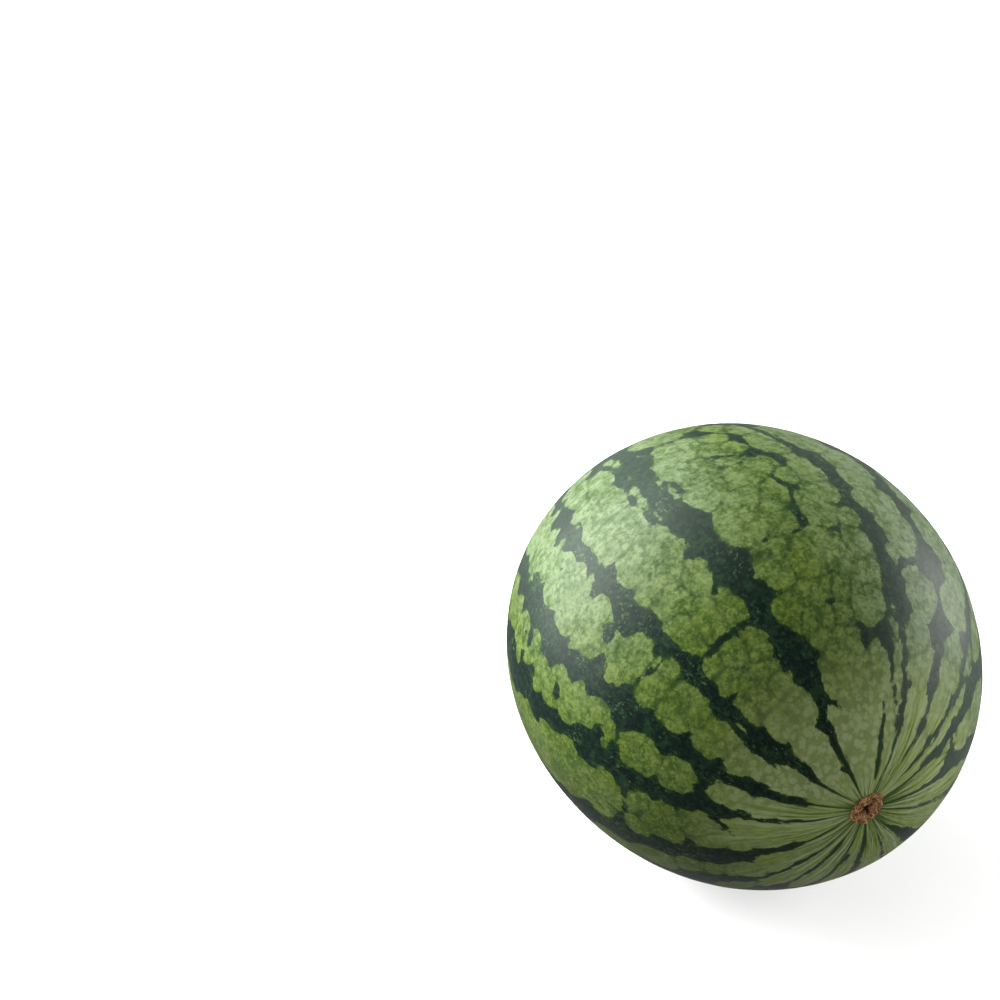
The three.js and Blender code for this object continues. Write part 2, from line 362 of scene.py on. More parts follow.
# The rounded lobes of light rind between the stripes, where they were planned: the angle, the
# turn, and how far each reaches across and along, in degrees.
LOBES = [
    # from the thin double line to the broad stripe
    (93, 10, 19, 15), (104, 24, 6.6, 7), (95, 25, 7, 6), (86, 25, 6.5, 5.6), (75.5, 22, 4, 8.5),
    (79, 34.4, 4.5, 6.6), (87, 36, 5.6, 6), (95, 36, 6.4, 6.6), (99.4, 36.6, 4.6, 6.4),
    (92, 41.6, 8.6, 5.8), (97, 45.6, 4.6, 4.6), (88.4, 49.8, 3.3, 3), (94, 50, 4, 3.4),
    (79, 51.6, 6.2, 5.4), (103.4, 53.6, 5, 5), (99, 50, 4, 4), (93, 57.4, 6.6, 4), (86, 56, 3.6, 3),
    (76, 59.6, 4.6, 5.4), (76, 66, 4.8, 5.6), (82.4, 64, 5, 5.6), (86, 68, 5, 3.8),
    (92, 64.6, 7, 6.6), (100.6, 64.6, 5.9, 5.6), (98, 68, 7, 3.6), (74.4, 73.8, 3.6, 3.2),
    (81.4, 77, 5, 5.7), (78, 82, 4.6, 5), (77.6, 89.6, 4.3, 7), (83.2, 88.4, 3.2, 3.4),
    (87.4, 93.6, 4.3, 3.7), (93.6, 75.6, 4.6, 4.4), (101.6, 78, 6.9, 6.5), (93, 80.4, 3.8, 4),
    (91, 83.8, 4, 4.6), (97, 84.6, 5.8, 4.8), (95, 90.4, 6, 5), (101, 90.4, 4.4, 4),
    (105.8, 89.4, 4, 4.6), (103.4, 94.6, 4.8, 3.8), (93.6, 99.4, 4.4, 4), (90.6, 103, 4.2, 3.4),
    (95.6, 105.4, 4.6, 4.4), (92.4, 110, 4.6, 3.6), (101, 99.6, 4.2, 4.6), (106.4, 103.4, 5.2, 6.6),
    (101, 106.6, 4.6, 5), (98, 110.8, 5.2, 4.8), (103.6, 112, 4.6, 4.8), (79.8, 103.6, 5.2, 6.8),
    (81, 113.6, 4.8, 5.4), (86, 117.6, 4.2, 5), (101, 125, 9, 7.6), (93.4, 125.6, 6, 5.6),
    # between the two broad stripes
    (125, 11, 14.5, 15), (124, 24, 11.4, 7), (119.2, 34.2, 7.9, 6.4), (128, 34, 5.8, 7),
    (119.4, 40.4, 5.8, 4.4), (127, 40.4, 6.4, 4.6), (132, 40.6, 4, 4.4), (121, 45.6, 5.6, 3.6),
    (129, 47.8, 6.4, 4.8), (118, 50.8, 4.6, 4.6), (124, 51.6, 6, 4.2), (130, 52.4, 4.2, 3.8),
    (117.6, 61.4, 4.9, 4.8), (124, 62.2, 6, 5.4), (130, 62.4, 5, 5.6), (120, 71.6, 5, 5),
    (127, 70.6, 6.4, 5.4), (130, 75, 4.2, 5.6), (124, 76, 4.4, 3.8), (122, 83.6, 5.2, 5.6),
    (129, 82.6, 6, 6), (124.4, 94, 5, 6), (130.4, 94, 6, 7), (124.6, 104.4, 5.4, 5.8),
    (131, 105, 6, 7), (124.4, 116, 5.6, 6.2), (131, 118, 6, 8), (131, 130, 6.4, 6),
    # flecks of light inside the broad stripe
    (114.2, 81, 2.2, 2.8), (113.4, 86, 1.2, 3), (116, 90.4, 1.8, 2), (117.2, 97.6, 2.2, 2.8),
    (116.4, 102.4, 2.6, 2.2), (115, 107.6, 1.8, 1.8), (110.8, 95, 1.2, 2.4),
    (113.6, 112, 1.8, 2.8), (111.2, 114.6, 1.8, 2.6), (115, 119, 2.4, 3.2),
    (117.6, 125, 2.0, 3.4), (112.6, 100.4, 1.4, 1.6), (139, 37.6, 1.2, 1.6),
    # on towards the floor, left of the scar
    (150.4, 9, 10.5, 14), (143.6, 23.2, 3.2, 4.4), (151.6, 22, 7.6, 7), (151.6, 33, 6.4, 7.2),
    (149, 42, 7.4, 5.8), (147, 52, 7.8, 7), (146, 60, 8, 5), (146, 67.6, 7, 5.4),
    (171, 9, 9.4, 12), (172, 22, 8.4, 8), (170.2, 33.6, 6.2, 6.4), (168.6, 46.8, 6.4, 5.2),
    (168, 55, 6.6, 6),
    (194, 10, 13.6, 14), (192.6, 23.4, 11.6, 8), (196, 31, 7.4, 6), (186, 30.4, 5.2, 5.4),
    (189.4, 40.4, 8.2, 5.6), (196, 37.6, 5.8, 5.4), (191, 49, 9.4, 6.4), (196.4, 55.6, 5, 4),
    (187, 54, 6, 3.6), (187, 63, 7, 4.6), (194.6, 66, 4.6, 4.6), (201.4, 62, 1.4, 1.8),
    (218.6, 10, 9.8, 14), (220, 24, 9.2, 8.6), (221.4, 35, 8, 6), (217, 41.6, 5, 4),
    (215, 47, 5.2, 5), (214.6, 57, 7.4, 6.6), (214.6, 68, 7, 7.6),
    (235.6, 10, 6, 13), (238, 27, 6, 12), (235, 43, 4.4, 6),
    (251.4, 10, 7, 14), (253, 26, 6.8, 12), (267.4, 10, 6, 14), (268, 26, 5.6, 13),
    (286, 14, 9, 20), (301, 14, 7, 20), (301, 30, 6, 10), (286, 30, 8, 10),
    # right of the scar
    (327, 12, 13.4, 14), (328, 26, 11, 11), (350, 12, 9.6, 14), (348, 27, 7.8, 13),
    (372.6, 10, 11, 13), (371, 20, 8.4, 5.4), (376.4, 27.4, 3.4, 3.6), (371.6, 35, 7.6, 5.6),
    (368.6, 43.4, 9.2, 7.6), (390.6, 12, 4, 11), (388.4, 31, 2.9, 10.8), (388.8, 46.6, 3.3, 4.5),
    (384, 56.4, 5, 6.6), (383, 66, 5, 6), (403, 12, 7, 12), (400.8, 30.6, 6.8, 7.6),
    (400.4, 39, 7.2, 6), (400, 44.6, 6, 5.2), (401, 56.4, 7.2, 5.8), (397, 65, 7.4, 5.8),
    (394.4, 71, 6.4, 5), (402.6, 76, 8.4, 7.6), (404.6, 90, 7.6, 7.6), (417.6, 13, 7.8, 13),
    (417.4, 28, 7, 8), (418.6, 37, 7.2, 6.8), (420.6, 43.8, 5.8, 5.6), (417, 54.8, 6.8, 6),
    (419.6, 58.4, 4.8, 4.4), (424.4, 64.6, 2.4, 2.6), (420, 68.6, 4.6, 4.6),
    (419.6, 73, 6.6, 4.4), (424, 80, 5.6, 5.4),
    (419.4, 80.6, 4.4, 4), (424, 87.6, 5, 5), (421.6, 95, 7, 6.6), (427.4, 104, 6.6, 7),
    (429.6, 112, 6, 6), (430.2, 36, 1.9, 12), (432, 14, 4.2, 13),
]

# How far towards the stem end the pattern was planned: the angle and the turn.
PLANNED_TURNS = [
    (-95, 32), (-60, 30), (-30, 34), (0, 46), (20, 62), (30, 74), (50, 98), (70, 116),
    (90, 127), (110, 132), (130, 133), (136, 84), (145, 70), (160, 62), (180, 62), (200, 72),
    (212, 78), (220, 68), (240, 48), (265, 32),
]

HIDDEN_STEP = 9.0  # degrees of turn between the stations of a stripe's unplanned run
BRIDGE_COUNT = 110
RAY_COUNT = 70  # the fine lines that run out of the blossom scar, and out of the stem dimple
MOST_SEAM = 9.0  # millimetres: seams and rays further off than this count as this far
SEED = 7
MM_PER_TURN = math.radians(1) * (HALF_LENGTH + MEAN_RADIUS) / 2


def planned_and_wandering(stations, random):
    """A stripe's stations as an array, carried on from the last planned one to the stem end."""
    stations = list(stations)
    turn, angle, width = stations[-1]
    while turn < 172:
        turn += HIDDEN_STEP * random.uniform(0.7, 1.2)
        angle += random.uniform(-1.4, 1.4)
        usual = 7.6 if 40 < turn < 140 else 4.0
        width = 0.35 * width + 0.65 * usual * random.uniform(0.5, 1.6)
        stations.append((turn, angle, width))
    return np.array(stations)


def eased(value, stations, column):
    """A column of the stations at each turn, easing in and out of each station."""
    turns = stations[:, 0]
    after = np.clip(np.searchsorted(turns, value), 1, len(turns) - 1)
    low, high = turns[after - 1], turns[after]
    share = smoothstep(value, low, high)
    return stations[after - 1, column] * (1 - share) + stations[after, column] * share


def angle_between(first, second):
    return (first - second + 180) % 360 - 180


def mm_around(turn):
    """Millimetres to a degree of angle, at a turn in degrees."""
    return math.radians(1) * MEAN_RADIUS * np.sin(np.radians(turn))


def planned_share(angle, turn):
    """1 where the pattern was planned, 0 on the rest of the rind."""
    limits = np.array(PLANNED_TURNS, float)
    reach = np.interp((angle + 95) % 360 - 95, limits[:, 0], limits[:, 1])
    return 1 - smoothstep(turn - reach, -1, 5)


def capsule_distance(angle, turn, points):
    """Millimetres from each place to a tapered chain of points, below zero inside it."""
    nearest = np.full(angle.shape, np.inf)
    for (angle_a, turn_a, width_a), (angle_b, turn_b, width_b) in zip(points, points[1:]):
        mm_per_angle = mm_around((turn_a + turn_b) / 2)
        x = angle_between(angle, angle_a) * mm_per_angle
        y = (turn - turn_a) * MM_PER_TURN
        run_x = (angle_b - angle_a) * mm_per_angle
        run_y = (turn_b - turn_a) * MM_PER_TURN
        share = np.clip((x * run_x + y * run_y) / (run_x ** 2 + run_y ** 2), 0, 1)
        away = np.hypot(x - share * run_x, y - share * run_y)
        nearest = np.minimum(nearest, away - (width_a + (width_b - width_a) * share) / 2)
    return nearest


def moved_about(angle, turn):
    """The same places, moved by a millimetre or so, so that no edge or seam runs straight."""
    around, along = np.radians(angle), np.radians(turn)
    places = np.stack([
        np.cos(around) * np.sin(along), np.sin(around) * np.sin(along), np.cos(along),
    ], -1).reshape(-1, 3) * MEAN_RADIUS

    # noise.noise gives the same values in every run, which noise.noise_vector does not.
    def drift(offset):
        return np.array([
            1.5 * noise.noise(Vector(p) / 10) + 0.9 * noise.noise(Vector(p) / 5)
            for p in places + offset
        ]).reshape(angle.shape)

    sideways = drift(0) / np.maximum(mm_around(turn), 0.3)
    return angle + sideways, turn + drift(437) / MM_PER_TURN


def lobe_depths(angle, turn):
    """Millimetres inside the planned lobes: in the deepest one, and in the next one to it."""
    random = np.random.default_rng(SEED + 2)
    angle, turn = moved_about(angle, turn)
    deepest = np.full(angle.shape, -99.0)
    second = np.full(angle.shape, -99.0)
    for angle_at, turn_at, across, along in LOBES:
        x = angle_between(angle, angle_at) / across
        y = (turn - turn_at) / along
        heading = np.arctan2(y, x)
        wobble = 1 + 0.045 * np.sin(3 * heading + random.uniform(0, 6.3))
        wobble += 0.03 * np.sin(5 * heading + random.uniform(0, 6.3))
        half = min(across * mm_around(turn_at + along / 3), along * MM_PER_TURN)
        depth = (wobble - np.hypot(x, y)) * half
        second = np.maximum(second, np.minimum(deepest, depth))
        deepest = np.maximum(deepest, depth)
    return deepest, second


def stripe_distance(angle, turn):
    """Millimetres from each place to the nearest dark edge, below zero in the dark.

    Also the planned share, and how far the nearest seam between two lobes is.
    """
    random = np.random.default_rng(SEED)
    around = mm_around(turn)
    planned = planned_share(angle, turn)
    # Where the lobes were planned, they make the stripes' edges, so the stripes themselves are
    # narrower there.
    narrowed = 1 - 0.4 * planned * smoothstep(turn, 20, 32)
    distance = np.full(angle.shape, np.inf)
    for stations in STRIPES:
        stations = planned_and_wandering(stations, random)
        middle = eased(turn, stations, 1)
        width = eased(turn, stations, 2) * narrowed
        edge = (np.abs(angle_between(angle, middle)) - width / 2) * around
        before = np.maximum(0, stations[0, 0] - turn) * 2 * (stations[0, 0] > 5)
        distance = np.minimum(distance, edge + before)
    for points in ARMS:
        distance = np.minimum(distance, capsule_distance(angle, turn, points))
    for bridge in hidden_bridges(random):
        outside = capsule_distance(angle, turn, bridge) + 30 * planned
        distance = np.minimum(distance, outside)
    deepest, second = lobe_depths(angle, turn)
    # Close to the scar there are only the stripes, and no lobes.
    open_rind = 12 * (1 - smoothstep(turn, 8, 17))
    # Away from the stripes, a narrow gap between two lobes is a soft seam, not a dark gap.
    gap = smoothstep(distance, 4, 10) * (1.0 - 0.45 * smoothstep(turn, 48, 56))
    with_lobes = np.minimum(distance, deepest + open_rind + gap)
    distance = planned * with_lobes + (1 - planned) * distance
    between = np.minimum(deepest - second + open_rind, MOST_SEAM)
    seam = planned * between + (1 - planned) * MOST_SEAM
    return distance, planned, seam


def smudge_share(angle, turn):
    """1 in the middle of a smudge, fading to 0 around it."""
    share = np.zeros(angle.shape)
    for angle_at, turn_at, radius in SMUDGES:
        x = angle_between(angle, angle_at) * mm_around(turn_at)
        y = (turn - turn_at) * MM_PER_TURN
        share = np.maximum(share, np.exp(-(x ** 2 + y ** 2) / radius ** 2))
    return share


def combed_share(angle, turn):
    """How streaked the rind is near its ends: furthest below and to the right of the scar."""
    above = smoothstep(np.cos(np.radians(angle_between(angle, 118))), 0.45, 0.85)
    reach = np.where(turn < 90, 38 - 25 * above, 22)
    from_end = np.minimum(turn, 180 - turn)
    return 1 - smoothstep(from_end, 0.45 * reach, 1.2 * reach)


def hidden_bridges(random):
    """Short dark branches on the sides that were not planned."""
    bridges = []
    for _ in range(BRIDGE_COUNT):
        angle = random.uniform(0, 360)
        turn = random.uniform(28, 158)
        reach = random.uniform(5, 13) * random.choice([-1, 1])
        rise = random.uniform(-7, 7)
        width = random.uniform(1.6, 5)
        bridges.append([
            (angle, turn, width),
            (angle + reach * 0.5, turn + rise * 0.8, width * random.uniform(0.5, 1.4)),
            (angle + reach, turn + rise, 1.4),
        ])
    return bridges


def ray_distance(angle, turn):
    """Millimetres to the fine lines that run out of the scar and of the stem dimple."""
    random = np.random.default_rng(SEED + 1)
    distance = np.full(angle.shape, MOST_SEAM)
    for from_blossom in (True, False):
        out = turn if from_blossom else 180 - turn
        around = mm_around(out)
        for _ in range(RAY_COUNT):
            start = random.uniform(0, 360)
            # They run furthest below and to the right of the scar.
            far = 1.0 if start > 190 or start < 75 else 0.45
            reach = random.uniform(7, 26) * far
            half_width = random.uniform(0.10, 0.50)
            drift = random.uniform(-5, 5)
            wave = random.uniform(0.5, 2.2)
            phase = random.uniform(0, 6.3)
            middle = start + drift * out / 20 + wave * np.sin(out / 8 + phase)
            across = np.abs(angle_between(angle, middle)) * around
            fading = half_width * (1 - (out / reach) ** 2)
            line = across - np.maximum(fading, -3)
            distance = np.minimum(distance, np.where(out < reach * 1.4, line, MOST_SEAM))
    return distance


# ---- The fruit's body ----

def body_height(distance):
    """How high the plain oval body stands over its middle plane."""
    return HALF_LENGTH * np.sqrt(np.maximum(0, 1 - (distance / MEAN_RADIUS) ** 2))


def end_heights(distance, blossom):
    """How high the body stands over its middle plane, at a distance from the core."""
    body = body_height(distance)
    dimple = BLOSSOM_DIMPLE_DEPTH * (1 - smoothstep(distance, 0, BLOSSOM_DIMPLE_RADIUS))
    seat = HALF_LENGTH - STEM_DIMPLE_DEPTH
    outward = smoothstep(distance, STEM_SEAT_RADIUS, STEM_DIMPLE_RADIUS)
    stem = seat * (1 - outward) + body * outward
    return np.where(blossom, body - dimple, -stem)


def scar_bed(distance):
    """How far the rind sinks away under the scar, which has its own surface."""
    return SCAR_BED * (1 - smoothstep(distance, SCAR_BED_FLOOR_RADIUS, SCAR_BED_RIM_RADIUS))


def body_points(turn, angle):
    """Points of the upright body for arrays of turns and angles, in radians."""
    distance = MEAN_RADIUS * np.sin(turn)
    height = end_heights(distance, turn < math.pi / 2)
    height -= scar_bed(distance) * (turn < math.pi / 2)
    waves = np.sin(2 * angle + 0.6) * -np.cos(turn) + np.sin(3 * angle - 0.9)
    swell = 1 + UNEVENNESS / MEAN_RADIUS * 0.6 * waves * np.sin(turn) ** 2
    share = distance / MEAN_RADIUS * swell
    x = share * np.cos(angle) * HALF_WIDTH
    y = share * np.sin(angle) * HALF_DEPTH
    return np.stack([x, y, height], -1)


def press_flat(points):
    """The resting spot: what would lie under the floor is pressed up to it, with a soft rim."""
    softness = REST_SPOT_SOFTNESS * MM
    z = points[..., 2]
    raised = (z + np.sqrt(z * z + softness * softness)) / 2 - 0.2 * MM
    points[..., 2] = np.maximum(0, raised)
    return points


def rind_relief(points):
    """Slight bumps and hollows of the rind, in millimetres, for points in metres."""
    flat = points.reshape(-1, 3)
    relief = [
        0.30 * noise.noise(Vector(p) * 22) + 0.10 * noise.noise(Vector(p) * 70 + Vector((5, 0, 0)))
        for p in flat
    ]
    return np.array(relief).reshape(points.shape[:-1])


def make_fruit():
    """The whole fruit, with what the rind's material has to know of each place."""
    steps = np.arange(1, ROWS + 1) / (ROWS + 1)
    turns = math.pi * steps - ROW_CROWDING / 2 * np.sin(2 * math.pi * steps)
    angles = 2 * math.pi * np.arange(COLUMNS) / COLUMNS
    turn, angle = np.meshgrid(turns, angles, indexing="ij")
    # The rows run from the blossom end, so the columns run clockwise to face outward.
    angle = -angle
    upright = body_points(turn, angle)
    laid = transformed(upright, LAID)
    outward = laid - np.array(FRUIT_MIDDLE)
    outward /= np.linalg.norm(outward, axis=-1, keepdims=True)
    laid += outward * (rind_relief(laid) * MM)[..., None]
    laid = press_flat(laid)

    ends = transformed(body_points(np.array([0.0, math.pi]), np.zeros(2)), LAID)
    piece = closed_grid("striped_fruit", ends[0], laid, ends[1])

    degrees_around = np.degrees(angle) % 360
    degrees_along = np.degrees(turn)
    stripes, planned, seam = stripe_distance(degrees_around, degrees_along)
    rays = ray_distance(degrees_around, degrees_along)
    along = turn * (HALF_LENGTH + MEAN_RADIUS) / 2
    place = np.stack([
        MEAN_RADIUS * np.cos(angle), MEAN_RADIUS * np.sin(angle), along,
    ], -1) * MM
    whole = math.pi * (HALF_LENGTH + MEAN_RADIUS) / 2 * MM
    store(piece, "pattern", (MEAN_RADIUS * MM, 0, 0), place, (MEAN_RADIUS * MM, 0, whole))
    store(piece, "stripe", 1.0, stripes, 1.0)
    store(piece, "seam", MOST_SEAM, seam, MOST_SEAM)
    store(piece, "ray", 1.0, rays, 1.0)
    store(piece, "spread", 0.0, np.sin(turn), 0.0)
    store(piece, "planned", 1.0, planned, 0.0)
    store(piece, "smudge", 0.0, smudge_share(degrees_around, degrees_along), 0.0)
    store(piece, "combed", 1.0, combed_share(degrees_around, degrees_along), 1.0)
    # A pale sheen painted into the colour: most at the right and the upper left.
    store(piece, "painted_sheen", 0.5, painted_sheen_share(degrees_around, degrees_along), 0.5)
    # low: the side towards the floor, made a darker olive, partly ground spot and partly painted
    # shade.
    store(piece, "low", 0.3, smoothstep(-np.sin(angle) * np.sin(turn), -0.35, 0.5), 0.3)
    return piece


def painted_sheen_share(angle, turn):
    """How much painted sheen each place has: a pale reflection, most at the right and the upper
    left.
    """
    right = np.cos(np.radians(angle_between(angle, 26)))
    left_top = np.cos(np.radians(angle_between(angle, 128)))
    share = np.maximum(smoothstep(right, 0.30, 0.92),
                       smoothstep(left_top, 0.70, 0.99) * smoothstep(turn, 55, 100))
    return share * smoothstep(turn, 2, 25)


# ---- The blossom scar ----

SCAR_HALF_LENGTH = 8.9
SCAR_HALF_WIDTH = 7.7
SCAR_TURN = 39.0
SCAR_RISE = 1.0
SCAR_RIM_DROP = 1.5
SCAR_THICKNESS = 2.4  # how far its hidden underside lies below the rind
SCAR_STAR_DEPTH = 1.4
SCAR_STAR_SHARE = 0.31
SCAR_LEAST_COVER = 0.15  # over the rind's bed, so that no green shows through
SCAR_RIM_ROWS = 4
SCAR_ROWS = 44
SCAR_COLUMNS = 168
SCAR_PITS = [  # corky pits: the angle, the share of the way out, the radius and depth in mm
    (20, 0.62, 1.5, 0.9), (58, 0.78, 0.9, 0.6), (98, 0.66, 1.0, 0.6), (150, 0.70, 1.3, 0.8),
    (205, 0.74, 1.2, 0.8), (262, 0.62, 0.9, 0.6), (303, 0.76, 1.3, 0.8), (345, 0.80, 0.8, 0.5),
    (120, 0.40, 0.7, 0.4), (236, 0.40, 0.8, 0.5),
]


def scar_relief(x, y, share, heading):
    """How high the scar stands over the rind, and how hollow it is, for its own x and y."""
    lumps = np.array([
        noise.noise(Vector((a, b, 0)) * 0.42) * 0.9 + noise.noise(Vector((a, b, 9)) * 1.0) * 0.6
        for a, b in zip(x.ravel(), y.ravel())
    ]).reshape(x.shape)
    ring = smoothstep(share, 0.16, 0.42) * (1 - smoothstep(share, 0.86, 1.0))
    pits = np.zeros(x.shape)
    for pit_angle, pit_share, radius, depth in SCAR_PITS:
        pit_x = pit_share * SCAR_HALF_LENGTH * math.cos(math.radians(pit_angle))
        pit_y = pit_share * SCAR_HALF_WIDTH * math.sin(math.radians(pit_angle))
        away = np.hypot(x - pit_x, y - pit_y) / radius
        pits = np.maximum(pits, depth * np.exp(-(away ** 2)))
    star = 1 + 0.40 * np.cos(4 * heading + 0.6) + 0.2 * np.cos(7 * heading)
    centre = SCAR_STAR_DEPTH * np.exp(-((share / (SCAR_STAR_SHARE * star)) ** 2))
    relief = SCAR_RISE * (0.25 + 0.75 * ring) + lumps * ring - pits - centre
    return relief, pits / 1.6 + centre / SCAR_STAR_DEPTH


def make_blossom_scar():
    """The corky oval where the flower was, let into the blossom end."""
    columns = 2 * math.pi * np.arange(SCAR_COLUMNS) / SCAR_COLUMNS
    inward = np.linspace(1, 0, SCAR_ROWS + 1)[:-1]
    under = np.linspace(0.55, 1.0, SCAR_RIM_ROWS)
    out = np.concatenate([under, inward])
    share, heading = np.meshgrid(out, columns, indexing="ij")
    edge = 1 + 0.03 * np.sin(3 * heading + 1) + 0.025 * np.sin(5 * heading) \
        + 0.025 * np.sin(9 * heading + 2) + 0.012 * np.sin(17 * heading)
    x = share * edge * SCAR_HALF_LENGTH * np.cos(heading)
    y = share * edge * SCAR_HALF_WIDTH * np.sin(heading)
    turn = math.radians(SCAR_TURN)
    flat_x = x * math.cos(turn) - y * math.sin(turn)
    flat_y = x * math.sin(turn) + y * math.cos(turn)
    distance = np.hypot(flat_x, flat_y)
    rind = end_heights(distance, True)

    relief, hollow = scar_relief(x, y, share, heading)
    relief = np.maximum(relief, SCAR_LEAST_COVER - scar_bed(distance))
    relief -= SCAR_RIM_DROP * smoothstep(share, 0.93, 1.0)
    height = rind + relief
    below = np.arange(len(out)) < SCAR_RIM_ROWS
    height[below] = rind[below] - SCAR_THICKNESS
    rings = transformed(np.stack([flat_x, flat_y, height], -1), LAID)
    pole = end_heights(np.array([0.0]), True)[0]
    first = transformed(np.array([0, 0, pole - SCAR_THICKNESS]), LAID)
    last = transformed(np.array([0, 0, pole + 0.25 * SCAR_RISE - SCAR_STAR_DEPTH]), LAID)
    piece = closed_grid("blossom_scar", first, rings, last)
    store(piece, "hollow", 1.0, hollow, 1.0)
    store(piece, "outward", 0.0, share, 0.0)
    return piece


def scar_material():
    g = Graph("corky_scar")
    place = g.node("ShaderNodeTexCoord", {}).outputs["Object"]
    hollow = g.attribute("hollow")
    outward = g.attribute("outward")
    cloud = g.noise(place, 2.2, 4.0, 0.65)
    fibre = g.noise(place, 0.6, 3.0, 0.7)
    colour = g.mix(g.step(cloud, 0.40, 0.58), srgb(138, 82, 42), srgb(208, 160, 104))
    colour = g.mix(g.step(fibre, 0.51, 0.62, 0.0, 0.85), colour, srgb(238, 204, 158))
    colour = g.mix(g.step(fibre, 0.48, 0.38, 0.0, 0.7), colour, srgb(118, 60, 26))
    ragged = g.add(hollow, g.times(g.maths("SUBTRACT", cloud, 0.5), 1.2))
    colour = g.mix(g.step(ragged, 0.25, 0.70, 0.0, 0.96), colour, srgb(44, 16, 12))
    colour = g.mix(g.step(outward, 0.88, 0.99, 0.0, 0.7), colour, srgb(84, 56, 26))
    normal = g.bump(fibre, 0.16, g.bump(cloud, 0.50))
    g.set_surface({"Base Color": colour, "Roughness": 0.82, "Normal": normal})
    g.set_surface({"Specular IOR Level": 0.25})
    return g.material


# ---- The stalk ----

STALK_LENGTH = 19.0
STALK_RADIUS = 3.75
STALK_FOOT_RADIUS = 6.75
STALK_FOOT_FLARE = 2.6
STALK_RIDGES = 5
STALK_RIDGE_HEIGHT = 0.45
STALK_BEND = 24.0
STALK_CUT_SLANT = 14.0
STALK_AZIMUTH = 60.0
STALK_ROWS = 90
STALK_COLUMNS = 150
STALK_CUT_ROWS = 12


def stalk_radius(run, heading):
    """How thick the ridged and shrivelled stalk is, so far along it, in each direction."""
    radius = STALK_RADIUS + (STALK_FOOT_RADIUS - STALK_RADIUS) * np.exp(-run / STALK_FOOT_FLARE)
    ridges = np.cos(STALK_RIDGES * heading + run * 0.03)
    radius += STALK_RIDGE_HEIGHT * smoothstep(run, 0.5, 5) * ridges
    fibres = np.array([
        0.22 * noise.noise(Vector((math.cos(a) * 5, math.sin(a) * 5, h * 0.10)))
        + 0.10 * noise.noise(Vector((math.cos(a) * 13, math.sin(a) * 13, h * 0.3)))
        for h, a in zip(run.ravel(), heading.ravel())
    ]).reshape(run.shape)
    shrivel = 0.18 * np.sin(run * 0.9 + 2 * np.sin(heading)) * smoothstep(run, 3, 8)
    return radius + fibres * smoothstep(run, 0, 2) - 0.25 - np.abs(shrivel)


def make_stalk():
    """The dried remnant of the stalk, bent over a little, with its slanted cut."""
    bend_radius = STALK_LENGTH / math.radians(STALK_BEND)
    heights = np.linspace(0, STALK_LENGTH, STALK_ROWS)
    columns = 2 * math.pi * np.arange(STALK_COLUMNS) / STALK_COLUMNS
    run, heading = np.meshgrid(heights, columns, indexing="ij")
    radius = stalk_radius(run, heading)

    # The side wall's rings, and then the cut's rings closing in over its end.
    closing = np.linspace(1, 0, STALK_CUT_ROWS + 1)[:-1]
    closing[0] = 0.97
    cut_radius = radius[-1] * closing[:, None]
    radius = np.concatenate([radius, cut_radius])
    cut_rise = 0.25 * np.sin(closing * 9)[:, None] * np.ones(STALK_COLUMNS)
    run = np.concatenate([run, STALK_LENGTH + cut_rise])
    heading = np.concatenate([heading, np.tile(columns, (STALK_CUT_ROWS, 1))])

    across = radius * np.cos(heading)
    beside = radius * np.sin(heading)
    slant = math.tan(math.radians(STALK_CUT_SLANT)) * smoothstep(run, 12, STALK_LENGTH)
    turned = (run - across * slant) / bend_radius
    x = bend_radius * (1 - np.cos(turned)) + across * np.cos(turned)
    z = bend_radius * np.sin(turned) - across * np.sin(turned)
    rings = np.stack([x, beside, z], -1)
    seat = Matrix.Translation((0, 0, -(HALF_LENGTH - STEM_DIMPLE_DEPTH) - SEAT_GAP))
    turn = Matrix.Rotation(math.radians(STALK_AZIMUTH), 4, "Z")
    stand = LAID @ seat @ turn @ Matrix.Rotation(math.pi, 4, "X")
    end = bend_radius * (1 - math.cos(STALK_LENGTH / bend_radius))
    top = bend_radius * math.sin(STALK_LENGTH / bend_radius)
    first = transformed(np.array([0, 0, 0]), stand)
    last = transformed(np.array([end, 0, top]), stand)
    piece = closed_grid("dried_stalk", first, transformed(rings, stand), last)
    store(piece, "height", 0.0, run, STALK_LENGTH)
    grain = np.stack([np.cos(heading) * 5, np.sin(heading) * 5, run * 0.15], -1) * MM
    store(piece, "fibre", (0, 0, 0), grain, (0, 0, STALK_LENGTH * 0.15 * MM))
    inside = np.concatenate([np.zeros((STALK_ROWS, STALK_COLUMNS)),
                             np.tile(1 - closing[:, None] + 0.06, (1, STALK_COLUMNS))])
    store(piece, "cut", 0.0, inside, 1.0)
    return piece


def stalk_material():
    g = Graph("dry_stalk_fibre")
    height = g.attribute("height")
    fibre_place = g.attribute("fibre", "Vector")
    cut = g.attribute("cut")
    place = g.node("ShaderNodeTexCoord", {}).outputs["Object"]
    fibre = g.noise(fibre_place, 0.55, 4.0, 0.65)
    cloud = g.noise(place, 3.2, 3.0, 0.6)
    colour = g.mix(g.step(fibre, 0.36, 0.64), srgb(96, 78, 46), srgb(176, 156, 108))
    colour = g.mix(g.step(cloud, 0.50, 0.70, 0.0, 0.6), colour, srgb(112, 108, 62))
    colour = g.mix(g.step(height, 3.5, 0.5, 0.0, 0.7), colour, srgb(96, 112, 56))
    pores = g.cells(place, 0.55)
    pith = g.mix(g.step(pores, 0.25, 0.5), srgb(92, 66, 38), srgb(186, 160, 112))
    pith = g.mix(g.step(cut, 0.5, 1.0, 0.0, 0.7), pith, srgb(88, 62, 36))
    colour = g.mix(g.step(cut, 0.02, 0.05), colour, pith)
    normal = g.bump(pores, 0.04, g.bump(fibre, 0.18))
    g.set_surface({"Base Color": colour, "Roughness": 0.78, "Normal": normal})
    g.set_surface({"Specular IOR Level": 0.3})
    return g.material


# ---- The rind's material ----

